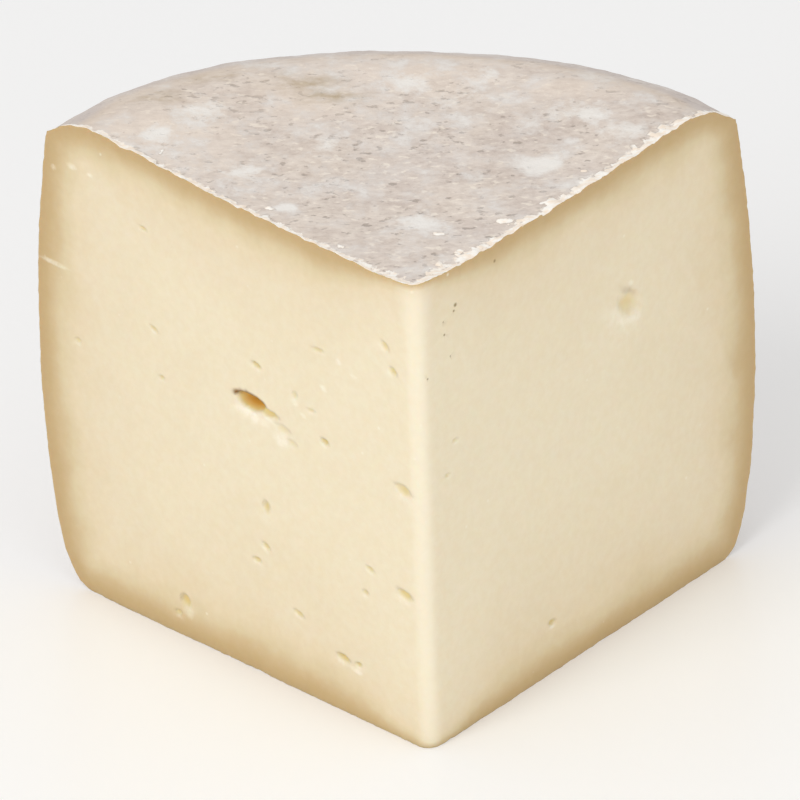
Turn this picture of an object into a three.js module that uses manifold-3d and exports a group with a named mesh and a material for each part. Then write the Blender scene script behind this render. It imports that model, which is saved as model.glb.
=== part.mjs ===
// A quarter of a tall pressed cheese with a natural rind, resting on its flat bottom.
//
// The whole wheel is a turned solid: a flat bottom, a softly rounded lower corner, a side that bellies out, a
// worn shoulder that slopes down to a blunt upper edge, and a top that has settled a little towards its middle.
// It dried a little thicker on one side than on the other. Two cuts that meet near the middle leave the
// quarter, and the corner where they meet is worn round. The left cut opened one eye in the paste, and the
// right one a shallow dimple.
//
// Millimetres, +Z up. The two cuts meet on the -Y side and the rind curves round the +Y side. The origin is
// under the middle of the piece, on the surface that it stands on.

import * as THREE from 'three';
import { mergeVertices } from 'three/addons/utils/BufferGeometryUtils.js';
import Module from 'manifold-3d';

// The wheel
const WHEEL_RADIUS = 106.2; // where the side is fullest
const MIDDLE_HEIGHT = 110; // thickness at the middle of the wheel
const RIM_RISE = 5.4; // how far the top would climb from the middle to a sharp rim
const LEAN = 0.028; // share by which the left edge is thicker than the middle, and the right one thinner
const FULLEST_HEIGHT = 51; // height at which the side is fullest
const SIDE_BELLY = 5; // how far the side draws in, half a thickness above or below that
const LOWER_CORNER = { inset: 6.9, height: 21 };
const TOP_SHOULDER = { inset: 15.5, drop: 6 };
const TURNS = 144; // flats round the whole wheel
const CORNER_STEPS = 7;
const SIDE_STEPS = 8;
const TOP_STEPS = 6;

// The cuts
const CUTS_MEET = 1.9; // the cuts meet this far to the right of the wheel's true middle
const WORN_CORNER_RADIUS = 3.5;
const CUT_REACH = 130; // beyond the rind all round
const CUT_MARGIN = 10; // beyond the bottom and the top

// Hollows in the two cut faces: how far from the cuts' meeting line and how high they lie, their half sizes
// along the face, up it and into the paste, how far their middle lies under the face, and their tilt.
const MAIN_EYE = { along: 45.8, height: 67, half: [5.5, 2.8, 5.2], under: 1.2, tilt: 0.21 };
const DIMPLE = { along: 64.4, height: 76.9, half: [4.3, 5.5, 2.4], under: -1.3, tilt: 0 };

const PASTE = { color: 0xeee1c1, roughness: 0.5, metalness: 0 };

const wasm = await Module();
wasm.setup();

/** A closed three.js geometry as a solid that can be cut and joined. */
function toSolid(geometry) {
  const bare = geometry.clone();
  bare.deleteAttribute('normal');
  bare.deleteAttribute('uv');
  const merged = mergeVertices(bare, 1e-4);
  return new wasm.Manifold(new wasm.Mesh({
    numProp: 3,
    vertProperties: new Float32Array(merged.attributes.position.array),
    triVerts: new Uint32Array(merged.index.array),
  }));
}

/** A solid back as a three.js geometry. */
function toGeometry(solid) {
  const { vertProperties, triVerts } = solid.getMesh();
  const geometry = new THREE.BufferGeometry();
  geometry.setAttribute('position', new THREE.BufferAttribute(vertProperties, 3));
  geometry.setIndex(new THREE.BufferAttribute(triVerts, 1));
  geometry.computeVertexNormals();
  return geometry;
}

/** The side's radius at a height, before its corners are rounded. */
function sideRadius(height) {
  return WHEEL_RADIUS - SIDE_BELLY * ((height - FULLEST_HEIGHT) / (MIDDLE_HEIGHT / 2)) ** 2;
}

/** The top's height at a radius, before its shoulder is rounded. */
function topHeight(radius) {
  return MIDDLE_HEIGHT + RIM_RISE * (radius / WHEEL_RADIUS) ** 2;
}

/** The wheel's half section, from the middle of the bottom round to the middle of the top. */
function wheelSection() {
  const lowerCorner = new THREE.Vector2(sideRadius(0), 0);
  const upperRadius = sideRadius(MIDDLE_HEIGHT);
  const sideTop = topHeight(upperRadius) - TOP_SHOULDER.drop;
  const flatRadius = upperRadius - TOP_SHOULDER.inset;
  const bendRadius = upperRadius - TOP_SHOULDER.inset / 2;

  const lowerRound = new THREE.QuadraticBezierCurve(
    new THREE.Vector2(lowerCorner.x - LOWER_CORNER.inset, 0),
    lowerCorner,
    new THREE.Vector2(sideRadius(LOWER_CORNER.height), LOWER_CORNER.height),
  );
  const shoulder = new THREE.QuadraticBezierCurve(
    new THREE.Vector2(sideRadius(sideTop), sideTop),
    new THREE.Vector2(bendRadius, topHeight(bendRadius)),
    new THREE.Vector2(flatRadius, topHeight(flatRadius)),
  );

  const section = [new THREE.Vector2(0, 0), ...lowerRound.getPoints(CORNER_STEPS)];
  for (let step = 1; step < SIDE_STEPS; step += 1) {
    const height = THREE.MathUtils.lerp(LOWER_CORNER.height, sideTop, step / SIDE_STEPS);
    section.push(new THREE.Vector2(sideRadius(height), height));
  }
  section.push(...shoulder.getPoints(CORNER_STEPS));
  for (let step = 1; step <= TOP_STEPS; step += 1) {
    const radius = flatRadius * (1 - step / TOP_STEPS);
    section.push(new THREE.Vector2(radius, topHeight(radius)));
  }
  return section;
}

/** The whole wheel, standing on its bottom, with the cuts' meeting line as the vertical axis. */
function wholeWheel() {
  const wheel = new THREE.LatheGeometry(wheelSection(), TURNS);
  wheel.rotateX(Math.PI / 2);
  const places = wheel.attributes.position;
  for (let vertex = 0; vertex < places.count; vertex += 1) {
    const thickness = 1 - LEAN * places.getX(vertex) / WHEEL_RADIUS;
    places.setZ(vertex, places.getZ(vertex) * thickness);
  }
  wheel.translate(-CUTS_MEET, 0, 0);
  return toSolid(wheel);
}

/** Everything between the two cuts: a tall right-angled prism with a rounded front corner. */
function quarterPrism() {
  const outline = new THREE.Shape();
  outline.absarc(
    0, WORN_CORNER_RADIUS * Math.SQRT2, WORN_CORNER_RADIUS,
    Math.PI * 1.25, Math.PI * 1.75, false,
  );
  outline.lineTo(CUT_REACH, CUT_REACH);
  outline.lineTo(-CUT_REACH, CUT_REACH);
  outline.closePath();
  const prism = new THREE.ExtrudeGeometry(outline, {
    depth: MIDDLE_HEIGHT + RIM_RISE + 2 * CUT_MARGIN,
    bevelEnabled: false,
    curveSegments: 8,
  });
  prism.translate(0, 0, -CUT_MARGIN);
  return toSolid(prism);
}

/** A hollow in a cut face. side is -1 for the left face and 1 for the right one. */
function hollow({ along, height, half, under, tilt }, side) {
  const faceDirection = new THREE.Vector3(side, 1, 0).normalize();
  const outward = new THREE.Vector3(side, -1, 0).normalize();
  const up = new THREE.Vector3(0, 0, 1);
  const eye = new THREE.SphereGeometry(1, 20, 12);
  eye.scale(...half);
  eye.rotateZ(tilt);
  const place = new THREE.Matrix4().makeBasis(faceDirection, up, faceDirection.clone().cross(up));
  place.setPosition(
    faceDirection.clone().multiplyScalar(along)
      .addScaledVector(up, height)
      .addScaledVector(outward, -under),
  );
  eye.applyMatrix4(place);
  return toSolid(eye);
}

/** The quarter, moved so that the origin is under the middle of its box. */
function quarterGeometry() {
  const quarter = wholeWheel()
    .intersect(quarterPrism())
    .subtract(hollow(MAIN_EYE, -1))
    .subtract(hollow(DIMPLE, 1));
  const geometry = toGeometry(quarter);
  geometry.computeBoundingBox();
  const middle = geometry.boundingBox.getCenter(new THREE.Vector3());
  geometry.translate(-middle.x, -middle.y, -geometry.boundingBox.min.z);
  return geometry;
}

const group = new THREE.Group();
const wedge = new THREE.Mesh(quarterGeometry(), new THREE.MeshStandardMaterial(PASTE));
wedge.name = 'cheese_wedge';
group.add(wedge);

export default group;
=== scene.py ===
"""A quarter of a tall pressed cheese with a natural rind, standing on a pale studio floor.

Lengths are in millimetres until the mesh is finished, and angles in degrees. The working space has the line
where the two cuts would meet as its vertical axis, with the rind on the +Y side; the last step moves the mesh
to the place that the frame gives it.
"""

import math
from collections import namedtuple

import bmesh
import bpy
import numpy as np
from mathutils import Matrix, Vector, noise
from mathutils.geometry import delaunay_2d_cdt
from mathutils.kdtree import KDTree


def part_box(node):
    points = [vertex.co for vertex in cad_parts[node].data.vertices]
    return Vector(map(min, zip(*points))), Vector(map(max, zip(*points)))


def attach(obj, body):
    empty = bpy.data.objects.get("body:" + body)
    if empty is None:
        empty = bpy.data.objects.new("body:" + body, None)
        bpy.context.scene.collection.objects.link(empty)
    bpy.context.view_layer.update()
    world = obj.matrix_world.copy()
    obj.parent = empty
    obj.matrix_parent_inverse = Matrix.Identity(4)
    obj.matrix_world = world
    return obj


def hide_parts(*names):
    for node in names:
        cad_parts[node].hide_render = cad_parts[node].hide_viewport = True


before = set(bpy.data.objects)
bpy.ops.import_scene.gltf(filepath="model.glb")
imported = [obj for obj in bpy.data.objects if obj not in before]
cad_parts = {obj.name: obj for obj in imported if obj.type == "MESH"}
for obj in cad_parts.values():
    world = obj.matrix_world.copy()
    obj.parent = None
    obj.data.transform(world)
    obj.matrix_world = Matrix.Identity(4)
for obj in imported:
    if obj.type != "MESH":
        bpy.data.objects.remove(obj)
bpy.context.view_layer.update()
MM = 0.001

# The whole wheel
WHEEL_RADIUS = 106.2
MIDDLE_HEIGHT = 110.0
RIM_RISE = 5.4
LEAN = 0.028
FULLEST_HEIGHT = 51.0
SIDE_BELLY = 5.0
LOWER_INSET = 6.9
SHOULDER_INSET = 15.5
UPPER_EDGE_WEAR = 0.7  # how far the blunt upper edge is worn round, up the shoulder and down the side

# How the rind changes round the quarter: share of the way from the left cut to the right one, height of the
# rounded lower corner, and how far the shoulder drops. It is more worn at the cuts than between them.
ROUND_THE_RIND = (
    (0.0, 18.0, 6.9), (0.1, 18.6, 4.1), (0.3, 20.0, 4.4), (0.5, 21.5, 5.9),
    (0.75, 23.2, 5.3), (0.94, 24.6, 5.8), (1.0, 25.0, 7.9),
)

# The cuts
CUTS_MEET = 1.9  # to the right of the wheel's true middle
CORNER_RADIUS = 3.5  # the worn front corner
DIAGONAL = math.sqrt(0.5)
LEFT, RIGHT = -1, 1

# Spacing of the mesh's points
OPEN_SPACING = 1.25
RIM_SPACING = 0.62
TOP_SPACING = 0.95
EYE_SPACING = 0.3
PIT_SPACING = 0.42
SPECK_SPACING = 0.2
SIDE_ROW_SPACING = 1.15
FRONT_ROW_SPACING = 1.1
SEAM_SPACING = 0.35  # of the side's columns, next to the cuts
RIM_RINGS = (0.3, 0.7, 1.2, 1.9, 2.8)  # distances of the fine rings of points inside a sheet's edge
RING_CLEARANCE, FIELD_CLEARANCE = 0.6, 0.75  # how near a new point may come, as shares of the spacing
OUTLINE_STEP = 0.1
WELD = 0.02
ROUND_STEPS, SIDE_STEPS, TOP_STEPS = 40, 80, 60  # points on the half section

# A hollow in a cut face: distance from the cuts' meeting line, height, length along the face, height of its
# mouth, depth, and how far it leans (degrees, the end nearer to the corner lower).
Hollow = namedtuple("Hollow", "side along height long tall deep lean")
MAIN_EYE = Hollow(LEFT, 47.2, 65.8, 8.2, 4.2, 3.9, 3)
EYE_TAIL = Hollow(LEFT, 42.3, 65.0, 5.4, 2.1, 1.0, 4)
DIMPLE = Hollow(RIGHT, 64.7, 78.6, 9.4, 5.8, 1.0, -38)
SMALL_EYES = (
    Hollow(LEFT, 38.1, 62.9, 3.8, 1.8, 0.35, 8),
    Hollow(LEFT, 35.4, 60.5, 2.4, 1.5, 0.3, 10),
    Hollow(LEFT, 75.5, 95.9, 2.0, 0.9, 0.5, 10),
    Hollow(LEFT, 73.8, 72.8, 2.4, 1.0, 0.5, 25),
    Hollow(LEFT, 96.1, 61.4, 1.6, 1.2, 0.4, 0),
    Hollow(LEFT, 44.9, 75.5, 2.4, 1.3, 0.8, 10),
    Hollow(LEFT, 27.4, 86.0, 3.0, 1.0, 0.4, -5),
    Hollow(LEFT, 34.4, 72.5, 1.4, 1.8, 0.35, 10),
    Hollow(LEFT, 30.1, 70.6, 2.4, 0.9, 0.3, 0),
    Hollow(LEFT, 72.2, 61.8, 1.8, 1.0, 0.5, 0),
    Hollow(LEFT, 26.6, 64.5, 2.2, 1.5, 0.9, 20),
    Hollow(LEFT, 8.9, 94.2, 2.4, 1.6, 0.5, 40),
    Hollow(LEFT, 6.9, 88.9, 2.2, 1.8, 0.6, 40),
    Hollow(LEFT, 43.9, 41.8, 2.0, 3.2, 0.6, 0),
    Hollow(LEFT, 44.4, 32.1, 2.2, 1.4, 0.6, 30),
    Hollow(LEFT, 47.2, 27.7, 2.2, 1.2, 0.6, 0),
    Hollow(LEFT, 68.6, 8.8, 2.4, 3.4, 0.9, -20),
    Hollow(LEFT, 70.9, 5.2, 1.8, 1.4, 0.6, 0),
    Hollow(LEFT, 35.8, 19.1, 2.8, 1.2, 0.6, 20),
    Hollow(LEFT, 23.7, 13.2, 3.4, 1.7, 1.0, 10),
    Hollow(LEFT, 19.5, 13.3, 1.6, 1.2, 0.7, 0),
    Hollow(LEFT, 15.1, 38.4, 2.2, 1.2, 0.5, 20),
    Hollow(LEFT, 16.7, 32.1, 1.6, 1.4, 0.5, 0),
    Hollow(LEFT, 5.2, 61.5, 4.4, 2.6, 0.7, 15),
    Hollow(LEFT, 5.8, 36.0, 4.0, 2.4, 0.8, 15),
    Hollow(RIGHT, 38.4, 12.4, 2.0, 1.5, 0.8, 0),
    Hollow(RIGHT, 10.4, 70.7, 1.6, 1.0, 0.3, 0),
    Hollow(RIGHT, 7.6, 63.6, 1.6, 1.0, 0.3, 0),
)
HOLLOWS = (MAIN_EYE, EYE_TAIL, DIMPLE) + SMALL_EYES

# Pale patches on the cut faces: scuffs where the knife or a thumb dragged the paste, and painted highlights
# beside the hollows where the paste faces the light: place, size and lean as above
ScuffAndHighlight = namedtuple("ScuffAndHighlight", "side along height long tall lean")
SCUFFS_AND_HIGHLIGHTS = (
    ScuffAndHighlight(LEFT, 101.8, 77.8, 9.0, 1.3, 0),
    ScuffAndHighlight(LEFT, 100.4, 100.9, 1.6, 1.6, 0),
    ScuffAndHighlight(LEFT, 95.0, 103.0, 4.0, 1.5, 0),
    ScuffAndHighlight(LEFT, 90.0, 102.9, 2.0, 1.1, 0),
    ScuffAndHighlight(LEFT, 38.6, 60.0, 5.4, 4.0, 25),
    ScuffAndHighlight(LEFT, 46.4, 62.6, 11.0, 3.4, 4),
    ScuffAndHighlight(LEFT, 20.4, 11.6, 5.0, 1.6, 10),
    ScuffAndHighlight(LEFT, 34.6, 70.7, 2.4, 1.6, 15),
    ScuffAndHighlight(LEFT, 32.2, 68.5, 2.2, 1.2, 20),
    ScuffAndHighlight(LEFT, 26.3, 77.3, 2.4, 1.8, 0),
    ScuffAndHighlight(LEFT, 22.0, 85.3, 1.7, 1.7, 0),
    ScuffAndHighlight(LEFT, 18.0, 83.5, 2.2, 1.0, 0),
    ScuffAndHighlight(RIGHT, 66.6, 74.8, 4.6, 4.0, 0),
    ScuffAndHighlight(RIGHT, 65.4, 83.2, 2.6, 1.4, -20),
)

# Specks of rind dust on the right cut: distance along it, height and width
SPECKS = (
    (23.8, 107.0, 0.6), (11.6, 102.3, 0.8), (11.1, 101.1, 0.5), (7.9, 99.9, 0.35), (8.1, 96.8, 0.5),
    (2.8, 88.8, 0.4), (9.7, 91.1, 0.35),
)

# Flakes of dried rind that lie on the top: place, length, width, thickness and turn (degrees from +X)
Flake = namedtuple("Flake", "x y long wide thick turn")
FLAKES = (
    Flake(19.6, 26.2, 3.6, 1.7, 0.5, 10),
    Flake(22.4, 25.6, 2.2, 1.2, 0.4, 60),
    Flake(9.6, 15.0, 2.2, 1.3, 0.55, 55),
    Flake(5.4, 10.8, 1.9, 1.3, 0.5, 80),
    Flake(6.2, 22.4, 2.6, 1.1, 0.3, 0),
    Flake(13.0, 16.2, 1.6, 1.0, 0.35, 20),
    Flake(28.0, 32.6, 2.0, 0.9, 0.3, 30),
    Flake(-27.6, 33.6, 2.2, 1.2, 0.4, 15),
    Flake(-48.6, 55.4, 2.8, 0.6, 0.3, 66),
    Flake(37.0, 44.0, 1.8, 0.9, 0.3, 15),
    Flake(-14.0, 18.6, 1.8, 1.0, 0.3, 160),
)

# Patches on the top where the white bloom is thick, and where an olive-brown stain shows: place and reaches
BLOOM = (
    (-15, 57, 4.5, 3), (5, 80, 6, 4), (12, 74, 5, 3.5), (19, 82, 4, 3), (38, 66, 6, 4), (46, 57, 7, 4),
    (-24, 34, 2.2, 1.5), (-50, 62, 4, 5), (29, 47, 5, 3), (-33, 48, 5, 3), (2, 28, 4, 3), (-40, 72, 5, 5),
)
STAIN = ((-19, 81, 7, 3.4), (-13, 76, 6, 3), (-38, 85.5, 6, 2.6), (-49, 77, 5, 3))

# Broad patches on the top that are paler and warmer
PALE_WARM_PATCHES = ((-50, 62, 22, 16), (-18, 74, 16, 9), (4, 86, 26, 9), (40, 76, 18, 6))

TOP_FACING = 0.7  # the rind counts as the top where this much of its normal points up
TOP_FROM = 90.0  # no patch of the top reaches lower than this

# The relief: height of its bumps, distance between them, seed, and how many finer layers ride on them
Bumps = namedtuple("Bumps", "tall apart seed layers", defaults=(3,))
RIND_SWELL = Bumps(0.35, 24, 1), Bumps(0.14, 7, 2)
RIND_PEBBLES = Bumps(0.1, 2.2, 3, 2)
SHOULDER_DENTS = Bumps(0.22, 11, 14), Bumps(0.16, 4.5, 15, 2)
TORN_LIP = Bumps(0.26, 3.6, 4), Bumps(0.12, 1.3, 5, 2)
EDGE_CRUMBS = Bumps(0.9, 2.4, 12)
FLAKE_EDGES = Bumps(0.5, 1.0, 6, 2), Bumps(0.5, 1.0, 13, 2)
KNIFE_WAVES = Bumps(0.08, 16, 7)
CUT_GRAIN = Bumps(0.015, 3, 8, 2)
DRY_CRUMBLE = Bumps(0.15, 1.5, 9, 2)
EYE_EDGES = Bumps(0.2, 2.6, 10, 2), Bumps(0.2, 2.6, 11, 2)

# How rough the torn lip is on the right cut, the left cut and the side, and how far crumbs reach from it
TORN_RIGHT, TORN_LEFT, TORN_SIDE = 1.5, 0.9, 0.2
CRUMBS_REACH_RIGHT, CRUMBS_REACH_LEFT = 3.0, 1.7
CRUMB_THICKNESS = 0.55
CORNER_RISE, CORNER_RISE_REACH = 0.6, 16  # how far the top stands up at its front corner, and how far back
PALE_PATCH_STRENGTH = 0.7
FRONT_REACH = 14  # how far from the front corner the rind's lip and the browning change


# ---------------------------------------------------------------- the wheel's form

def mix(first, second, share):
    return first + (second - first) * share


def smooth_step(low, high, value):
    share = np.clip((value - low) / (high - low), 0, 1)
    return share * share * (3 - 2 * share)


def side_radius(height):
    return WHEEL_RADIUS - SIDE_BELLY * ((height - FULLEST_HEIGHT) / (MIDDLE_HEIGHT / 2)) ** 2


def top_height(radius):
    return MIDDLE_HEIGHT + RIM_RISE * (radius / WHEEL_RADIUS) ** 2


def rounding(start, corner, end, first, last):
    """Part of the round corner between two lines that would meet at `corner`."""
    t = np.linspace(first, last, ROUND_STEPS)[:, None]
    return (1 - t) ** 2 * np.array(start) + 2 * t * (1 - t) * np.array(corner) + t ** 2 * np.array(end)


def half_section(lower_height, shoulder_drop):
    """The wheel's bottom, side and top as lines of (radius, height), each running outwards or upwards."""
    foot = side_radius(0.0)
    lower = ((foot - LOWER_INSET, 0.0), (foot, 0.0), (side_radius(lower_height), lower_height))
    rim = side_radius(MIDDLE_HEIGHT)
    side_top = top_height(rim) - shoulder_drop
    flat, bend = rim - SHOULDER_INSET, rim - SHOULDER_INSET / 2
    edge = (side_radius(side_top), side_top)
    unworn = 1 - UPPER_EDGE_WEAR / SHOULDER_INSET
    slope = rounding((flat, top_height(flat)), (bend, top_height(bend)), edge, 0, unworn)
    worn_from = side_top - UPPER_EDGE_WEAR
    worn = (slope[-1], edge, (side_radius(worn_from), worn_from))
    heights = np.linspace(lower_height, worn_from, SIDE_STEPS)
    radii = np.linspace(0, flat, TOP_STEPS)
    bottom = [np.array([[0.0, 0.0]]), rounding(*lower, 0, 0.5)]
    side = [
        rounding(*lower, 0.5, 1)[:-1],
        np.stack([side_radius(heights), heights], 1),
        rounding(*worn, 0.5, 1)[::-1][1:],
    ]
    top = [np.stack([radii, top_height(radii)], 1)[:-1], slope[:-1], rounding(*worn, 0, 0.5)]
    return {"bottom": np.concatenate(bottom), "side": np.concatenate(side), "top": np.concatenate(top)}


SECTIONS = [half_section(lower_height, drop) for _, lower_height, drop in ROUND_THE_RIND]


def section(part, share):
    """One part of the half section, `share` of the way round from the left cut to the right one."""
    places = [place for place, _, _ in ROUND_THE_RIND]
    number = min(int(np.searchsorted(places, share, "right")), len(places) - 1)
    between = (share - places[number - 1]) / (places[number] - places[number - 1])
    return mix(SECTIONS[number - 1][part], SECTIONS[number][part], between)


def along_line(points, places):
    """Points on a line at the given shares of its length."""
    steps = np.linalg.norm(np.diff(points, axis=0), axis=1)
    run = np.concatenate([[0], np.cumsum(steps)])
    wanted = np.asarray(places) * run[-1]
    return np.stack([np.interp(wanted, run, values) for values in points.T], 1)


def line_length(points):
    return np.linalg.norm(np.diff(points, axis=0), axis=1).sum()


def crowded(length, open_spacing, end_spacing, reach=3.0):
    """Shares of a length for points that crowd towards both of its ends."""
    x = np.linspace(0, length, 4001)
    from_end = np.minimum(x, length - x)
    density = 1 / open_spacing + (1 / end_spacing - 1 / open_spacing) * np.exp(-((from_end / reach) ** 2))
    total = np.concatenate([[0], np.cumsum((density[1:] + density[:-1]) / 2 * np.diff(x))])
    count = int(round(total[-1]))
    return np.interp(np.linspace(0, total[-1], count + 1), total, x / length)


def arm_reach(radius, side):
    """How far from the cuts' meeting line a cut face meets a circle round the wheel's middle."""
    offset = CUTS_MEET * DIAGONAL
    return -side * offset + np.sqrt(np.maximum(radius ** 2 - offset ** 2, 0))


def face_run(along):
    """Distance round the worn corner and along a cut face, from the distance along the sharp cut."""
    return along - CORNER_RADIUS * (1 - math.pi / 4)


def on_cut(run, side):
    """Plan position of a place on a cut face."""
    turn = np.minimum(run / CORNER_RADIUS, math.pi / 4)
    rounded = CORNER_RADIUS * np.stack([side * np.sin(turn), math.sqrt(2) - np.cos(turn)], -1)
    straight = np.maximum(run - CORNER_RADIUS * math.pi / 4, 0)
    return rounded + straight[..., None] * np.array([side * DIAGONAL, DIAGONAL])


def arm_angle(radius, side):
    """Direction, from the wheel's middle, of the place where a circle of that radius meets a cut face."""
    reach = arm_reach(radius, side) * DIAGONAL
    return np.arctan2(reach, side * reach + CUTS_MEET)


def round_the_wheel(radius, share):
    """Plan position at a distance from the wheel's middle, `share` of the way round from the left cut."""
    angle = mix(arm_angle(radius, LEFT), arm_angle(radius, RIGHT), share)
    return np.stack([radius * np.cos(angle) - CUTS_MEET, radius * np.sin(angle)], -1)


def from_middle(plan):
    """Distance from the wheel's middle, and the share of the way round from the left cut to the right."""
    x, y = plan[:, 0] + CUTS_MEET, plan[:, 1]
    radius = np.hypot(x, y)
    left, right = arm_angle(radius, LEFT), arm_angle(radius, RIGHT)
    return radius, np.clip((left - np.arctan2(y, x)) / (left - right), 0, 1)


def end_height(plan, part):
    """Height of the wheel's bottom or top at plan positions."""
    radii, shares = from_middle(plan)
    lines = (section(part, share) for share in shares)
    return np.array([np.interp(radius, line[:, 0], line[:, 1]) for radius, line in zip(radii, lines)])


# ---------------------------------------------------------------- the mesh

def search_tree(points):
    tree = KDTree(len(points))
    for index, point in enumerate(points):
        tree.insert((point[0], point[1], point[2] if len(point) == 3 else 0), index)
    tree.balance()
    return tree


def inside_depth(outline, points):
    """How far inside a closed outline points lie, negative outside it."""
    closed = np.concatenate([outline, outline[:1]])
    tree = search_tree(along_line(closed, np.linspace(0, 1, int(line_length(closed) / OUTLINE_STEP))))
    distance = np.array([tree.find((x, y, 0))[2] for x, y in points])
    x, y = points.T
    inside = np.zeros(len(points), bool)
    for (x0, y0), (x1, y1) in zip(closed[:-1], closed[1:]):
        if y0 != y1:
            inside ^= ((y0 > y) != (y1 > y)) & (x < x0 + (y - y0) / (y1 - y0) * (x1 - x0))
    return np.where(inside, distance, -distance)


def even_field(low, high, spacing):
    """Points between two corners, each the same distance from its six neighbours."""
    rows = np.arange(low[1], high[1], spacing * math.sqrt(0.75))
    lines = [
        np.arange(low[0] + number % 2 * spacing / 2, high[0], spacing) for number in range(len(rows))
    ]
    return np.concatenate([np.stack([line, np.full_like(line, y)], 1) for line, y in zip(lines, rows)])


def fill(outline, spots, open_spacing):
    """Triangles that fill an anticlockwise outline: fine along its edge and on the spots, even between."""
    points = outline

    def accept(candidates, gap):
        nonlocal points
        candidates = candidates[inside_depth(outline, candidates) > 0.5 * min(gap, 0.5)]
        tree = search_tree(points)
        clear = np.array([tree.find((x, y, 0))[2] > gap for x, y in candidates], bool)
        points = np.concatenate([points, candidates[clear]])

    along = np.roll(outline, -1, 0) - np.roll(outline, 1, 0)
    inward = np.stack([-along[:, 1], along[:, 0]], 1) / np.linalg.norm(along, axis=1)[:, None]
    for ring, inner in zip(RIM_RINGS, (0,) + RIM_RINGS):
        accept(outline + inward * ring, RING_CLEARANCE * (ring - inner))
    for x, y, reach, spacing in spots:
        place = np.array([x, y])
        field = even_field(place - reach, place + reach, spacing)
        accept(field[np.linalg.norm(field - place, axis=1) < reach], FIELD_CLEARANCE * spacing)
    accept(even_field(outline.min(0), outline.max(0), open_spacing), FIELD_CLEARANCE * open_spacing)
    flat = [Vector(point) for point in points]
    found = delaunay_2d_cdt(flat, [], [list(range(len(outline)))], 1, 1e-7)
    return np.array([v[:] for v in found[0]]), [tuple(f) for f in found[2]]


ROWS = crowded(line_length(section("side", 0.5)), SIDE_ROW_SPACING, RIM_SPACING)
COLUMNS = crowded(WHEEL_RADIUS, RIM_SPACING, RIM_SPACING)
FRONT_ROWS = crowded(MIDDLE_HEIGHT, FRONT_ROW_SPACING, RIM_SPACING)
SHARES = crowded(WHEEL_RADIUS * math.pi / 2, OPEN_SPACING, SEAM_SPACING)


def cut_edge(part, side):
    """The line where a cut face meets the wheel's bottom or top: run along the face, and height."""
    share = 0.0 if side == LEFT else 1.0
    run = COLUMNS * face_run(arm_reach(section(part, share)[-1, 0], side))
    return np.stack([run, end_height(on_cut(run, side), part)], 1)


def cut_face(side):
    """A flat cut face, with the half of the worn corner that belongs to it."""
    rind = along_line(section("side", 0.0 if side == LEFT else 1.0), ROWS)
    outer = np.stack([face_run(arm_reach(rind[:, 0], side)), rind[:, 1]], 1)
    bottom, top = cut_edge("bottom", side), cut_edge("top", side)
    front = np.stack([np.zeros_like(FRONT_ROWS), FRONT_ROWS * top[0, 1]], 1)
    outline = np.concatenate([bottom[:-1], outer[:-1], top[:0:-1], front[:0:-1]])
    spots = []
    for mark in HOLLOWS + SCUFFS_AND_HIGHLIGHTS:
        if mark.side == side:
            reach = 0.7 * max(mark.long, mark.tall) + 0.6
            spacing = EYE_SPACING if mark is MAIN_EYE else PIT_SPACING
            spots.append((face_run(mark.along), mark.height, reach, spacing))
    if side == RIGHT:
        spots += [(face_run(along), height, width, SPECK_SPACING) for along, height, width in SPECKS]
    flat, faces = fill(outline, spots, OPEN_SPACING)
    points = np.column_stack([on_cut(flat[:, 0], side), flat[:, 1]])
    return points, faces if side == RIGHT else [face[::-1] for face in faces]


def wheel_end(part):
    """The wheel's bottom or top between the two cuts."""
    right = on_cut(cut_edge(part, RIGHT)[:, 0], RIGHT)
    left = on_cut(cut_edge(part, LEFT)[:, 0], LEFT)
    seam = np.array([round_the_wheel(section(part, share)[-1, 0], share) for share in SHARES[::-1]])
    outline = np.concatenate([right[:-1], seam[:-1], left[:0:-1]])
    spots = [(f.x, f.y, 0.6 * f.long + 0.5, EYE_SPACING) for f in FLAKES] if part == "top" else []
    flat, faces = fill(outline, spots, TOP_SPACING if part == "top" else OPEN_SPACING)
    points = np.column_stack([flat, end_height(flat, part)])
    return points, faces if part == "top" else [face[::-1] for face in faces]


def wheel_side():
    """The wheel's bellied side between the two cuts."""
    columns = [along_line(section("side", share), ROWS) for share in SHARES]
    points = [
        np.column_stack([round_the_wheel(line[:, 0], share), line[:, 1]])
        for line, share in zip(columns, SHARES)
    ]
    rows = len(ROWS)
    faces = [
        (c * rows + r, c * rows + r + 1, (c + 1) * rows + r + 1, (c + 1) * rows + r)
        for c in range(len(SHARES) - 1) for r in range(rows - 1)
    ]
    return np.concatenate(points), faces


RIND, PASTE = 0, 1


def bare_quarter():
    """The quarter's closed mesh before any relief, each face marked as rind or paste."""
    sheets = [
        (*wheel_end("top"), RIND), (*wheel_end("bottom"), RIND), (*wheel_side(), RIND),
        (*cut_face(LEFT), PASTE), (*cut_face(RIGHT), PASTE),
    ]
    points, faces, skins = [], [], []
    for sheet_points, sheet_faces, skin in sheets:
        start = sum(len(p) for p in points)
        points.append(sheet_points)
        faces += [tuple(start + corner for corner in face) for face in sheet_faces]
        skins += [skin] * len(sheet_faces)
    mesh = bpy.data.meshes.new("cheese_quarter")
    mesh.from_pydata(np.concatenate(points), [], faces)
    mesh.polygons.foreach_set("material_index", skins)
    welded = bmesh.new()
    welded.from_mesh(mesh)
    bmesh.ops.remove_doubles(welded, verts=welded.verts, dist=WELD)
    welded.to_mesh(mesh)
    welded.free()
    return mesh


# ---------------------------------------------------------------- the relief

def skin_normals(mesh, points, skin):
    """Each point's normal from the faces of one skin alone, and whether the point belongs to it."""
    total = np.zeros_like(points)
    for face in mesh.polygons:
        if face.material_index == skin:
            for corner in face.vertices:
                total[corner] += np.array(face.normal) * face.area
    size = np.linalg.norm(total, axis=1)
    return total / np.maximum(size, 1e-12)[:, None], size > 0


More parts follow.
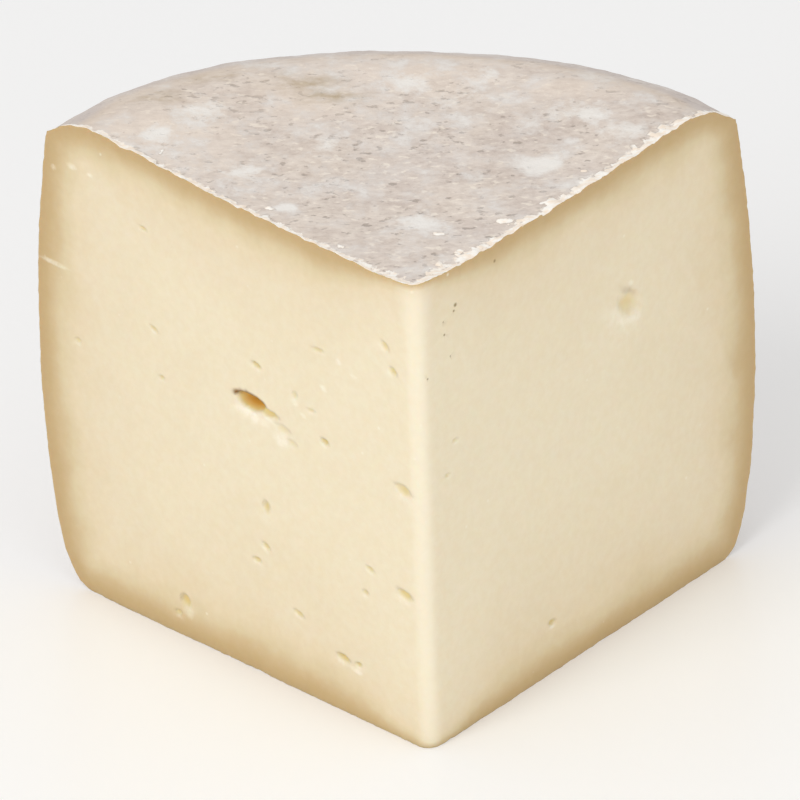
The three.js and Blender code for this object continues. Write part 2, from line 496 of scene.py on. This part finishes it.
def ripple(points, *kinds):
    """How far smooth bumps of the given kinds stand out at each point, together."""
    total = np.zeros(len(points))
    for bumps in kinds:
        shift = Vector((17.3, -9.1, 4.7)) * bumps.seed
        layers = [noise.fractal(Vector(p) / bumps.apart + shift, 1.0, 2.0, bumps.layers) for p in points]
        total += bumps.tall * np.array(layers)
    return total


def nearest(points, targets):
    """Distance from each point to the nearest target, and which target that is."""
    tree = search_tree(targets)
    found = [tree.find(p) for p in points]
    return np.array([f[2] for f in found]), np.array([f[1] for f in found])


def oval(across, up, long, tall, lean, warp):
    """Places measured in half sizes of a ragged oval, along its length and across it."""
    turn = math.radians(lean)
    along = (across * math.cos(turn) + up * math.sin(turn)) / (long / 2)
    through = (up * math.cos(turn) - across * math.sin(turn)) / (tall / 2)
    return along + warp[0], through + warp[1]


def rind_relief(points, from_cut, upward, sides):
    """How far the rind stands out, and how thick the crumbs and flakes on it are.

    It undulates softly, its skin is pebbled, its shoulder and side are dented, and it has a ragged lip along
    the cuts, lumpier on the right."""
    on_top = upward > TOP_FACING
    on_right = sides == RIGHT
    skin = ripple(points, *RIND_SWELL) + ripple(points, RIND_PEBBLES)
    rolled = 1 - smooth_step(0.8, 0.98, upward)
    dented = rolled * ripple(points, *SHOULDER_DENTS) * np.clip(from_cut / 6, 0, 1)
    from_front = np.hypot(points[:, 0], points[:, 1])
    risen_corner = CORNER_RISE * np.exp(-(from_front / CORNER_RISE_REACH) ** 2) * on_top
    rough = np.where(on_top, np.where(on_right, TORN_RIGHT, TORN_LEFT), TORN_SIDE)
    lip = np.exp(-((from_cut / 1.1) ** 2)) * rough * (0.1 + ripple(points, *TORN_LIP))
    reach = np.where(on_right, CRUMBS_REACH_RIGHT, CRUMBS_REACH_LEFT)
    crumbly = 0.6 + ripple(points, EDGE_CRUMBS) - from_cut / reach
    crumbs = CRUMB_THICKNESS * np.sqrt(np.clip(crumbly, 0, 1)) * on_top * np.where(on_right, 1, 0.7)
    warp = [ripple(points, bumps) for bumps in FLAKE_EDGES]
    for flake in FLAKES:
        across, up = points[:, 0] - flake.x, points[:, 1] - flake.y
        a, b = oval(across, up, flake.long, flake.wide, flake.turn, warp)
        angular = np.maximum(np.maximum(abs(a), abs(b)), abs(a + b) / 1.3)
        tipped = flake.thick * (0.75 + 0.35 * np.clip(b - 0.5 * a, -1, 1))
        crumbs = np.maximum(crumbs, tipped * np.clip(3.5 * (1 - angular), 0, 1) * on_top)
    return skin + dented + risen_corner + lip + crumbs, crumbs


def hollow_form(hollow, a, b):
    """A hollow's depth and the painted shade under the lip over it, at places measured in its half sizes.

    An eye falls away steeply under a lip that follows the upper half of its mouth, and shade is painted along
    that lip.
    The dimple is a soft dish, and its only painted shade is a short straight band at the top."""
    dish = np.clip(1 - a * a - b * b, 0, 1)
    if hollow is DIMPLE:
        return hollow.deep * dish ** 1.4, np.exp(-(((a + 0.4) / 0.55) ** 2) - ((b - 0.8) / 0.25) ** 2)
    lip_width = np.clip(0.8 / hollow.tall, 0.13, 0.4)
    lip = np.exp(-(((np.hypot(a, b) - 1.02) / lip_width) ** 2)) * np.clip((b + 0.1) / 0.4, 0, 1)
    return hollow.deep * dish ** 0.7, lip


def paste_relief(points, under_rind, sides):
    """How far the cut faces stand out, where they are hollow and shut in, where they are pale (scuffs, and
    painted highlights on the hollows' lower lips), and where shade is painted under the hollows' upper lips.
    """
    knife = ripple(points * (1, 1, 0.5), KNIFE_WAVES) + ripple(points, CUT_GRAIN)
    crumbly = np.exp(-under_rind / 0.8) * ripple(points, DRY_CRUMBLE)
    along = (sides * points[:, 0] + points[:, 1]) * DIAGONAL
    height = points[:, 2]
    warp = [ripple(points, bumps) for bumps in EYE_EDGES]
    depth, shut_in, pale, painted_lip_shade = np.zeros((4, len(points)))
    for hollow in HOLLOWS:
        here = sides == hollow.side
        across, up = along - hollow.along, height - hollow.height
        a, b = oval(across, up, hollow.long, hollow.tall, hollow.lean, warp)
        mouth, lip = hollow_form(hollow, a, b)
        mouth = mouth * here
        apron = np.exp(-((a / 1.05) ** 2) - ((b + 1.35) / 0.6) ** 2) * here
        depth = np.maximum(depth, np.maximum(mouth, 0.1 * hollow.deep * apron))
        shut_in = np.maximum(shut_in, mouth / min(hollow.long, hollow.tall))
        # Painted highlight: the apron below each hollow is pale where its lower lip faces the light.
        pale = np.maximum(pale, apron * min(1, 0.5 + hollow.deep / 4))
        # Painted shade under each hollow's upper lip.
        painted_lip_shade = np.maximum(painted_lip_shade, lip * here * min(1, 0.08 + hollow.deep / 4))
    # Pale patches: scuffs, and painted highlights beside the hollows where the paste faces the light.
    for pale_patch in SCUFFS_AND_HIGHLIGHTS:
        across, up = along - pale_patch.along, height - pale_patch.height
        a, b = oval(across, up, pale_patch.long, pale_patch.tall, pale_patch.lean, warp)
        rubbed = np.clip(1.3 * (1 - a * a - b * b), 0, 1) * (sides == pale_patch.side)
        pale = np.maximum(pale, PALE_PATCH_STRENGTH * rubbed)
    return knife + crumbly - depth, depth, shut_in, pale, painted_lip_shade


def specks(points, sides):
    """How strongly specks of dust cover each point of the right cut face, from 0 to 1."""
    along = (points[:, 0] + points[:, 1]) * DIAGONAL
    cover = np.zeros(len(points))
    for place, height, width in SPECKS:
        away = np.hypot(along - place, points[:, 2] - height) / (width / 2)
        cover = np.maximum(cover, np.clip(1.5 - away, 0, 1) * (sides == RIGHT))
    return cover


def patches(points, places):
    """How strongly soft-edged oval patches on the top cover each point, from 0 to 1."""
    cover = np.zeros(len(points))
    for x, y, reach_x, reach_y in places:
        away = ((points[:, 0] - x) / reach_x) ** 2 + ((points[:, 1] - y) / reach_y) ** 2
        cover = np.maximum(cover, np.exp(-away) * (points[:, 2] > TOP_FROM))
    return cover


def front_corner():
    """Where the frame has the foot of the line in which the cuts would meet, in millimetres."""
    low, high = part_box("cheese_wedge")
    reach = arm_reach(WHEEL_RADIUS, LEFT) * DIAGONAL
    return np.array([low.x / MM + reach, high.y / MM - WHEEL_RADIUS, low.z / MM])


def finished_quarter():
    """The quarter as one closed mesh in the frame's place, in metres, with what its finish needs."""
    mesh = bare_quarter()
    points = np.empty(len(mesh.vertices) * 3, np.float32)
    mesh.vertices.foreach_get("co", points)
    points = points.reshape(-1, 3).astype(float)
    rind_normal, on_rind = skin_normals(mesh, points, RIND)
    paste_normal, on_paste = skin_normals(mesh, points, PASTE)
    rim = np.flatnonzero(on_rind & on_paste)
    from_rim, which = nearest(points, points[rim])
    top_rim = rim[rind_normal[rim, 2] > TOP_FACING]
    other_rim = rim[rind_normal[rim, 2] <= TOP_FACING]
    dried = np.minimum(1.3 * nearest(points, points[top_rim])[0], nearest(points, points[other_rim])[0])
    sides = np.where(points[:, 0] < 0, LEFT, RIGHT)
    along = (sides * points[:, 0] + points[:, 1]) * DIAGONAL

    stand, crumb = rind_relief(points, from_rim, rind_normal[:, 2], sides)
    lift = rind_normal * (stand * on_rind)[:, None]
    inner = on_paste & ~on_rind
    fade = np.clip(1 - from_rim[inner] / 6, 0, 1) ** 2
    lift[inner] = lift[rim][which[inner]] * fade[:, None]
    cut, hollow, shut_in, pale, painted_lip_shade = paste_relief(points, from_rim, sides)
    lift += paste_normal * (cut * on_paste)[:, None]
    lift[:, 2] += 0.2 * hollow * on_paste
    moved = points + lift

    moved[:, 2] *= 1 - LEAN * (moved[:, 0] + CUTS_MEET) / WHEEL_RADIUS
    moved[:, 2] = np.maximum(moved[:, 2], 0)
    mesh.vertices.foreach_set("co", ((moved + front_corner()) * MM).astype(np.float32).ravel())
    from_corner = np.maximum(face_run(along), 0)
    near_front = np.exp(-((from_corner / FRONT_REACH) ** 2))
    near_top = np.exp(-np.maximum(MIDDLE_HEIGHT - points[:, 2], 0) / 5)
    finish = {
        "from_cut": from_rim / (1 + 0.9 * near_front + 0.4 * (sides == RIGHT)),
        "under_rind": dried * (1 + 1.6 * near_front) + 2.2 * near_front,
        # pressed: painted highlight along the rounded front corner where it faces the light, partly paste
        # pressed paler there
        "pressed": 1 - smooth_step(0.3, 3.4 + 4.5 * near_top, from_corner),
        "hollow": hollow * on_paste,
        # shut_in: how enclosed a hollow is, which sets the painted shade inside it
        "shut_in": shut_in * on_paste,
        # pale: scuffs, and painted highlights below and beside the hollows
        "pale": pale * on_paste,
        # painted shade under the hollows' upper lips
        "painted_lip_shade": painted_lip_shade * on_paste,
        "speck": specks(points, sides) * on_paste,
        "bloom": patches(points, BLOOM),
        "stain": patches(points, STAIN),
        "pale_warm": patches(points, PALE_WARM_PATCHES),
        "crumb": crumb,
        "upward": rind_normal[:, 2],
    }
    for name, values in finish.items():
        mesh.attributes.new(name, "FLOAT", "POINT").data.foreach_set("value", values.astype(np.float32))
    mesh.polygons.foreach_set("use_smooth", [True] * len(mesh.polygons))
    mesh.update()
    return mesh


# ---------------------------------------------------------------- the finish

def colour(hex_value):
    """An sRGB hex colour as linear RGBA."""
    parts = [int(hex_value[k:k + 2], 16) / 255 for k in (1, 3, 5)]
    return [p / 12.92 if p <= 0.04045 else ((p + 0.055) / 1.055) ** 2.4 for p in parts] + [1.0]


def per_bump(millimetres):
    """A texture scale that gives features of this size."""
    return 1 / (millimetres * MM)


def add(tree, kind, settings=None, stops=None, **inputs):
    """Adds a node. Inputs are given by name or, as i0, i1..., by number, and are links or plain values."""
    node = tree.nodes.new("ShaderNode" + kind)
    for name, value in (settings or {}).items():
        setattr(node, name, value)
    for number, (place, tint) in enumerate(stops or []):
        stop = node.color_ramp.elements[number] if number < 2 else node.color_ramp.elements.new(place)
        stop.position, stop.color = place, colour(tint)
    for name, value in inputs.items():
        socket = node.inputs[int(name[1:])] if name[1:].isdigit() else node.inputs[name.replace("_", " ")]
        if isinstance(value, bpy.types.NodeSocket):
            tree.links.new(value, socket)
        else:
            socket.default_value = value
    return node


def new_material(name):
    material = bpy.data.materials.new(name)
    material.use_nodes = True
    material.node_tree.nodes.clear()
    return material, material.node_tree


def natural_rind():
    """Natural rind: paste that dried on the shelf, brushed and rubbed, under a thin bloom of pale mould.

    To the eye it is matt and floury. Granular, warm grey-beige skin shows where the brush reached, with dark
    pits and pale grains; smoother, cooler grey lies where the bloom grew over it. The rolled shoulder is
    rubbed greyer, and a broken cream-white lip runs where the knife went through. The finest grains and pits
    of a real rind are too fine to show, so they are drawn about 1 mm across."""
    material, tree = new_material("natural_rind")
    place = add(tree, "TexCoord").outputs["Object"]
    brushed = add(tree, "Mapping", Vector=place, Scale=(0.6, 1.0, 1.0)).outputs["Vector"]
    cloud = add(tree, "TexNoise", Vector=place, Scale=per_bump(15), Detail=5.0, Roughness=0.6).outputs["Fac"]
    veil = add(tree, "TexNoise", Vector=place, Scale=per_bump(8), Detail=7.0, Roughness=0.66).outputs["Fac"]
    mottle = add(
        tree, "TexNoise", Vector=brushed, Scale=per_bump(3.4), Detail=3.0, Roughness=0.6,
    ).outputs["Fac"]
    grain = add(
        tree, "TexNoise", Vector=brushed, Scale=per_bump(1.1), Detail=3.0, Roughness=0.6,
    ).outputs["Fac"]
    pits = add(
        tree, "TexNoise", Vector=brushed, Scale=per_bump(1.3), Detail=2.0, Roughness=0.5,
    ).outputs["Fac"]
    cluster = add(tree, "TexNoise", Vector=place, Scale=per_bump(10), Detail=2.0).outputs["Color"]
    cluster = add(tree, "SeparateColor", i0=cluster).outputs["Red"]
    grit = add(tree, "TexNoise", Vector=brushed, Scale=per_bump(1.3), Detail=2.0).outputs["Color"]
    grit = add(tree, "SeparateColor", i0=grit).outputs["Green"]

    ground = add(tree, "ValToRGB", i0=cloud, stops=[(0.36, "#D2C4BA"), (0.64, "#DFD0C1")]).outputs["Color"]
    fine = add(tree, "ValToRGB", i0=grain, stops=[
        (0.34, "#B3A69E"), (0.66, "#F6EDE4"), (0.5, "#DFD4CC"),
    ]).outputs["Color"]
    tone = add(tree, "MixRGB", Fac=0.36, Color1=ground, Color2=fine).outputs["Color"]
    blotch = add(tree, "ValToRGB", i0=mottle, stops=[
        (0.36, "#C8BAB1"), (0.64, "#F0E7DE"), (0.5, "#DFD4CB"),
    ]).outputs["Color"]
    tone = add(tree, "MixRGB", Fac=0.34, Color1=tone, Color2=blotch).outputs["Color"]
    dark = add(tree, "Math", {"operation": "MULTIPLY_ADD"}, i0=cluster, i1=0.35, i2=pits).outputs[0]
    dark = add(tree, "MapRange", Value=dark, From_Min=0.81, From_Max=0.9, To_Max=0.6).outputs[0]
    tone = add(tree, "MixRGB", Fac=dark, Color1=tone, Color2=colour("#978A7F")).outputs["Color"]
    bright = add(tree, "MapRange", Value=grit, From_Min=0.6, From_Max=0.69, To_Max=0.65).outputs[0]
    tone = add(tree, "MixRGB", Fac=bright, Color1=tone, Color2=colour("#F7EDDF")).outputs["Color"]

    # Broad patches on the top, paler and warmer.
    pale_warm = add(tree, "Attribute", {"attribute_name": "pale_warm"}).outputs["Fac"]
    pale_warm_part = add(tree, "Math", {"operation": "MULTIPLY"}, i0=pale_warm, i1=0.55).outputs[0]
    tone = add(tree, "MixRGB", Fac=pale_warm_part, Color1=tone, Color2=colour("#F0E2D4")).outputs["Color"]

    bloom = add(tree, "Attribute", {"attribute_name": "bloom"}).outputs["Fac"]
    grown = add(tree, "MapRange", Value=veil, From_Min=0.47, From_Max=0.62, To_Max=0.72).outputs[0]
    tone = add(tree, "MixRGB", Fac=grown, Color1=tone, Color2=colour("#E0DAD5")).outputs["Color"]
    thick = add(tree, "Math", {"operation": "MULTIPLY_ADD"}, i0=bloom, i1=0.23, i2=veil).outputs[0]
    thick = add(tree, "MapRange", Value=thick, From_Min=0.57, From_Max=0.75, To_Max=0.8).outputs[0]
    tone = add(tree, "MixRGB", Fac=thick, Color1=tone, Color2=colour("#F3F0EB")).outputs["Color"]

    stain = add(tree, "Attribute", {"attribute_name": "stain"}).outputs["Fac"]
    ragged_stain = add(
        tree, "MapRange", Value=mottle, From_Min=0.38, From_Max=0.62, To_Min=0.85, To_Max=0.2,
    ).outputs[0]
    stained = add(tree, "Math", {"operation": "MULTIPLY"}, i0=stain, i1=ragged_stain).outputs[0]
    tone = add(tree, "MixRGB", Fac=stained, Color1=tone, Color2=colour("#B5A07E")).outputs["Color"]

    upward = add(tree, "Attribute", {"attribute_name": "upward"}).outputs["Fac"]
    broad = add(tree, "TexNoise", Vector=place, Scale=per_bump(32), Detail=9.0, Roughness=0.6).outputs["Fac"]
    shelf = add(tree, "ValToRGB", i0=broad, stops=[
        (0.38, "#D3C3B0"), (0.6, "#FFFFFF"), (0.46, "#E5DACD"), (0.51, "#F4EDE5"),
    ]).outputs["Color"]
    on_side = add(
        tree, "MapRange", Value=upward, From_Min=0.9, From_Max=0.4, To_Min=0.12, To_Max=0.9,
    ).outputs[0]
    tone = add(
        tree, "MixRGB", {"blend_type": "MULTIPLY"}, Fac=on_side, Color1=tone, Color2=shelf,
    ).outputs["Color"]
    rolled = add(tree, "MapRange", Value=upward, From_Min=0.995, From_Max=0.9).outputs[0]
    rubbed = add(tree, "ValToRGB", i0=rolled, stops=[
        (0.0, "#E2CFB9"), (1.0, "#C6BCB8"), (0.3, "#D6C5B4"), (0.6, "#C4B9B4"),
    ]).outputs["Color"]
    rolled_part = add(tree, "MapRange", Value=rolled, From_Max=0.3, To_Max=0.68).outputs[0]
    above_side = add(tree, "MapRange", Value=upward, From_Min=0.2, From_Max=0.75).outputs[0]
    rolled_part = add(tree, "Math", {"operation": "MULTIPLY"}, i0=rolled_part, i1=above_side).outputs[0]
    worn_skin = add(
        tree, "MapRange", Value=veil, From_Min=0.38, From_Max=0.6, To_Min=1.0, To_Max=0.45,
    ).outputs[0]
    rolled_part = add(tree, "Math", {"operation": "MULTIPLY"}, i0=rolled_part, i1=worn_skin).outputs[0]
    tone = add(tree, "MixRGB", Fac=rolled_part, Color1=tone, Color2=rubbed).outputs["Color"]

    from_cut = add(tree, "Attribute", {"attribute_name": "from_cut"}).outputs["Fac"]
    ragged = add(
        tree, "TexNoise", Vector=place, Scale=per_bump(2.0), Detail=4.0, Roughness=0.6,
    ).outputs["Fac"]
    lip_width = add(
        tree, "MapRange", Value=ragged, From_Min=0.35, From_Max=0.65, To_Min=0.5, To_Max=2.1,
    ).outputs[0]
    side_lip = add(tree, "MapRange", Value=upward, From_Min=0.3, From_Max=0.85, To_Min=0.45).outputs[0]
    lip_width = add(tree, "Math", {"operation": "MULTIPLY"}, i0=lip_width, i1=side_lip).outputs[0]
    beyond = add(tree, "Math", {"operation": "SUBTRACT"}, i0=lip_width, i1=from_cut).outputs[0]
    lip = add(tree, "MapRange", Value=beyond, From_Min=-0.25, From_Max=0.2).outputs[0]
    crumb = add(tree, "Attribute", {"attribute_name": "crumb"}).outputs["Fac"]
    # Painted shadow: a dark ring round the foot of each crumb and flake.
    gap = add(tree, "MapRange", Value=crumb, From_Max=0.05, To_Max=0.3).outputs[0]
    tone = add(tree, "MixRGB", Fac=gap, Color1=tone, Color2=colour("#8F8173")).outputs["Color"]
    crumbs = add(tree, "MapRange", Value=crumb, From_Min=0.05, From_Max=0.16).outputs[0]
    pale = add(tree, "Math", {"operation": "MAXIMUM"}, i0=lip, i1=crumbs).outputs[0]
    cream = add(tree, "ValToRGB", i0=grit, stops=[(0.4, "#FAEBDA"), (0.6, "#FFFBF4")]).outputs["Color"]
    tone = add(tree, "MixRGB", Fac=pale, Color1=tone, Color2=cream).outputs["Color"]

    height = add(tree, "Math", {"operation": "SUBTRACT"}, i0=grain, i1=dark).outputs[0]
    relief = add(tree, "Bump", Strength=0.8, Distance=0.28 * MM, Height=height).outputs["Normal"]
    shader = add(
        tree, "BsdfPrincipled",
        Base_Color=tone, Roughness=0.88, IOR=1.42, Specular_IOR_Level=0.35, Normal=relief,
    )
    shader.inputs["Sheen Weight"].default_value = 0.12
    shader.inputs["Sheen Roughness"].default_value = 0.6
    add(tree, "OutputMaterial", Surface=shader.outputs[0])
    return material


def pressed_paste():
    """Firm pressed paste, cut with a long knife.

    To the eye it is a close, faintly waxy ivory that light sinks into, browned where it dried under the rind,
    with small pits and pale flecks and scuffs. Light and shade are painted into it too: a pale band along the
    rounded front corner (painted highlight, partly paste pressed paler there), amber shade deepening inside
    the hollows, painted highlights on the hollows' lower lips and painted shade under their upper lips.
    The curd's own grain is finer than shows, so it is drawn about 2 mm across."""
    material, tree = new_material("pressed_paste")
    place = add(tree, "TexCoord").outputs["Object"]
    cloud = add(tree, "TexNoise", Vector=place, Scale=per_bump(13), Detail=3.0).outputs["Fac"]
    curd = add(tree, "TexNoise", Vector=place, Scale=per_bump(1.8), Detail=4.0, Roughness=0.6).outputs["Fac"]

    under_rind = add(tree, "Attribute", {"attribute_name": "under_rind"}).outputs["Fac"]
    uneven = add(
        tree, "MapRange", Value=cloud, From_Min=0.25, From_Max=0.75, To_Min=0.72, To_Max=1.3,
    ).outputs[0]
    dried = add(tree, "Math", {"operation": "MULTIPLY"}, i0=under_rind, i1=uneven).outputs[0]
    depth = add(tree, "MapRange", Value=dried, From_Max=50.0).outputs[0]
    tone = add(tree, "ValToRGB", i0=depth, stops=[
        (0.0, "#C2A679"), (1.0, "#EEE2C6"), (0.02, "#C4A97B"), (0.05, "#C9AF81"), (0.09, "#D2BB91"),
        (0.14, "#DECDA8"), (0.22, "#E7D7B7"), (0.36, "#EADCBF"), (0.6, "#ECDFC2"),
    ]).outputs["Color"]

    flecks = add(tree, "ValToRGB", i0=curd, stops=[(0.35, "#F6F0E4"), (0.68, "#FFFFFF")]).outputs["Color"]
    tone = add(
        tree, "MixRGB", {"blend_type": "MULTIPLY"}, Fac=0.35, Color1=tone, Color2=flecks,
    ).outputs["Color"]
    grains = add(tree, "TexVoronoi", Vector=place, Scale=per_bump(7)).outputs["Distance"]
    grains = add(tree, "MapRange", Value=grains, From_Min=0.07, From_Max=0.02, To_Max=0.45).outputs[0]
    tone = add(tree, "MixRGB", Fac=grains, Color1=tone, Color2=colour("#FBF4E4")).outputs["Color"]

    # Painted highlight: a pale band along the rounded front corner where it faces the light, wider towards
    # the top; partly the paste pressed paler there.
    pressed = add(tree, "Attribute", {"attribute_name": "pressed"}).outputs["Fac"]
    away_from_rind = add(
        tree, "MapRange", Value=under_rind, From_Min=2.5, From_Max=6.0, To_Max=0.5,
    ).outputs[0]
    pressed = add(tree, "Math", {"operation": "MULTIPLY"}, i0=pressed, i1=away_from_rind).outputs[0]
    tone = add(tree, "MixRGB", Fac=pressed, Color1=tone, Color2=colour("#F5EEDA")).outputs["Color"]

    # Painted shade: deeper, more saturated amber inside a hollow the deeper and more enclosed it is.
    shut_in = add(tree, "Attribute", {"attribute_name": "shut_in"}).outputs["Fac"]
    hollow = add(tree, "Attribute", {"attribute_name": "hollow"}).outputs["Fac"]
    hollow_share = add(tree, "MapRange", Value=hollow, From_Max=3.6).outputs[0]
    amber = add(tree, "ValToRGB", i0=hollow_share, stops=[
        (0.0, "#EADFBC"), (1.0, "#CE9432"), (0.15, "#E0CF9A"), (0.32, "#E6CC84"), (0.65, "#DDA846"),
    ]).outputs["Color"]
    in_hollow = add(tree, "MapRange", Value=shut_in, From_Min=0.02, From_Max=0.28).outputs[0]
    tone = add(tree, "MixRGB", Fac=in_hollow, Color1=tone, Color2=amber).outputs["Color"]
    # Pale patches: scuffs, and painted highlights on and beside the hollows' lower lips, kept out of the
    # hollows.
    pale = add(tree, "Attribute", {"attribute_name": "pale"}).outputs["Fac"]
    open_air = add(tree, "MapRange", Value=shut_in, From_Min=0.2, From_Max=0.0, To_Max=0.8).outputs[0]
    broken = add(tree, "MapRange", Value=curd, From_Min=0.4, From_Max=0.6, To_Min=0.5).outputs[0]
    open_air = add(tree, "Math", {"operation": "MULTIPLY"}, i0=open_air, i1=broken).outputs[0]
    pale = add(tree, "Math", {"operation": "MULTIPLY"}, i0=pale, i1=open_air).outputs[0]
    tone = add(tree, "MixRGB", Fac=pale, Color1=tone, Color2=colour("#FCF5E3")).outputs["Color"]
    # Painted shade under the hollows' upper lips.
    painted_lip_shade = add(tree, "Attribute", {"attribute_name": "painted_lip_shade"}).outputs["Fac"]
    tone = add(tree, "MixRGB", Fac=painted_lip_shade, Color1=tone, Color2=colour("#835F2B")).outputs["Color"]
    speck = add(tree, "Attribute", {"attribute_name": "speck"}).outputs["Fac"]
    tone = add(tree, "MixRGB", Fac=speck, Color1=tone, Color2=colour("#9A8257")).outputs["Color"]

    drag = add(tree, "Mapping", Vector=place, Scale=(1.0, 1.0, 0.3)).outputs["Vector"]
    drag = add(tree, "TexNoise", Vector=drag, Scale=per_bump(1.2), Detail=4.0, Roughness=0.6).outputs["Fac"]
    height = add(tree, "Math", {"operation": "MULTIPLY_ADD"}, i0=drag, i1=0.5, i2=curd).outputs[0]
    relief = add(tree, "Bump", Strength=0.35, Distance=0.08 * MM, Height=height).outputs["Normal"]
    gloss = add(tree, "MapRange", Value=curd, To_Min=0.48, To_Max=0.64).outputs[0]
    shader = add(tree, "BsdfPrincipled", Base_Color=tone, Roughness=gloss, IOR=1.45, Normal=relief)
    shader.inputs["Subsurface Weight"].default_value = 0.3
    shader.inputs["Subsurface Radius"].default_value = (1.0, 0.62, 0.3)
    shader.inputs["Subsurface Scale"].default_value = 3.0 * MM
    add(tree, "OutputMaterial", Surface=shader.outputs[0])
    return material


def studio_floor():
    """A sheet of pale laminate: even, off-white and a little glossy."""
    material, tree = new_material("pale_laminate")
    shader = add(tree, "BsdfPrincipled", Base_Color=colour("#FDFDFD"), Roughness=0.3, IOR=1.45)
    add(tree, "OutputMaterial", Surface=shader.outputs[0])
    return material


# ---------------------------------------------------------------- the scene

def build_quarter():
    mesh = finished_quarter()
    mesh.materials.append(natural_rind())
    mesh.materials.append(pressed_paste())
    quarter = bpy.data.objects.new("cheese_quarter", mesh)
    bpy.context.scene.collection.objects.link(quarter)
    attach(quarter, "root")
    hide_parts("cheese_wedge")


FLOOR_SIZE = 6.0  # metres
ROOM_BRIGHTNESS = 0.74
SOFTBOX_WHITE = "#FFFDFA"


def build_floor():
    half = FLOOR_SIZE / 2
    mesh = bpy.data.meshes.new("studio_floor")
    corners = [(-half, -half, 0), (half, -half, 0), (half, half, 0), (-half, half, 0)]
    mesh.from_pydata(corners, [], [(0, 1, 2, 3)])
    mesh.materials.append(studio_floor())
    floor = bpy.data.objects.new("studio_floor", mesh)
    bpy.context.scene.collection.objects.link(floor)


def softbox(name, place, target, size, power):
    """A square studio light that faces a point. Places and size in metres, power in watts."""
    light = bpy.data.lights.new(name, "AREA")
    light.shape = "RECTANGLE"
    light.size, light.size_y = size, size
    light.energy = power
    light.color = colour(SOFTBOX_WHITE)[:3]
    lamp = bpy.data.objects.new(name, light)
    lamp.location = place
    lamp.rotation_euler = (Vector(target) - Vector(place)).to_track_quat("-Z", "Y").to_euler()
    lamp.visible_camera = False
    bpy.context.scene.collection.objects.link(lamp)


def light_studio():
    world = bpy.data.worlds.new("white_room")
    bpy.context.scene.world = world
    world.use_nodes = True
    world.node_tree.nodes["Background"].inputs["Color"].default_value = colour("#FFFFFF")
    world.node_tree.nodes["Background"].inputs["Strength"].default_value = ROOM_BRIGHTNESS
    softbox("key_softbox", (-1.1, -1.2, 1.5), target=(0, 0, 0.05), size=1.2, power=15.4)
    softbox("fill_softbox", (0.24, -0.44, 0.14), target=(0.0, -0.03, 0.05), size=0.3, power=0.28)
    bpy.context.scene.view_settings.view_transform = "Standard"


# Where the camera stands, seen from the front corner at half the middle height: millimetres and degrees
CAMERA_DISTANCE = 1713.0
CAMERA_BEARING = -2.32
CAMERA_ELEVATION = 32.45
CAMERA_ROLL = 1.95
FRAME_MIDDLE = (-4.74, 25.68)  # the frame's middle, right of and above that corner
CAMERA_LENS = 380.6
SENSOR_WIDTH = 36.0


def place_camera():
    corner = Vector((front_corner() + (0, 0, MIDDLE_HEIGHT / 2)) * MM)
    bearing, elevation = math.radians(CAMERA_BEARING), math.radians(CAMERA_ELEVATION)
    level_reach = math.cos(elevation)
    back = Vector((
        math.sin(bearing) * level_reach, -math.cos(bearing) * level_reach, math.sin(elevation),
    ))
    place = corner + back * CAMERA_DISTANCE * MM
    level = Vector((0, 0, 1)).cross(back).normalized()
    roll = Matrix.Rotation(math.radians(-CAMERA_ROLL), 3, back)
    right, up = roll @ level, roll @ back.cross(level)
    target = corner + (right * FRAME_MIDDLE[0] + up * FRAME_MIDDLE[1]) * MM
    back = (place - target).normalized()
    right = up.cross(back).normalized()
    up = back.cross(right)
    camera = bpy.data.cameras.new("camera")
    camera.lens, camera.sensor_width = CAMERA_LENS, SENSOR_WIDTH
    camera.clip_start, camera.clip_end = 0.05, 20
    holder = bpy.data.objects.new("camera", camera)
    turn = Matrix((right, up, back)).transposed().to_4x4()
    holder.matrix_world = Matrix.Translation(place) @ turn
    bpy.context.scene.collection.objects.link(holder)
    bpy.context.scene.camera = holder


place_camera()
build_quarter()
build_floor()
light_studio()
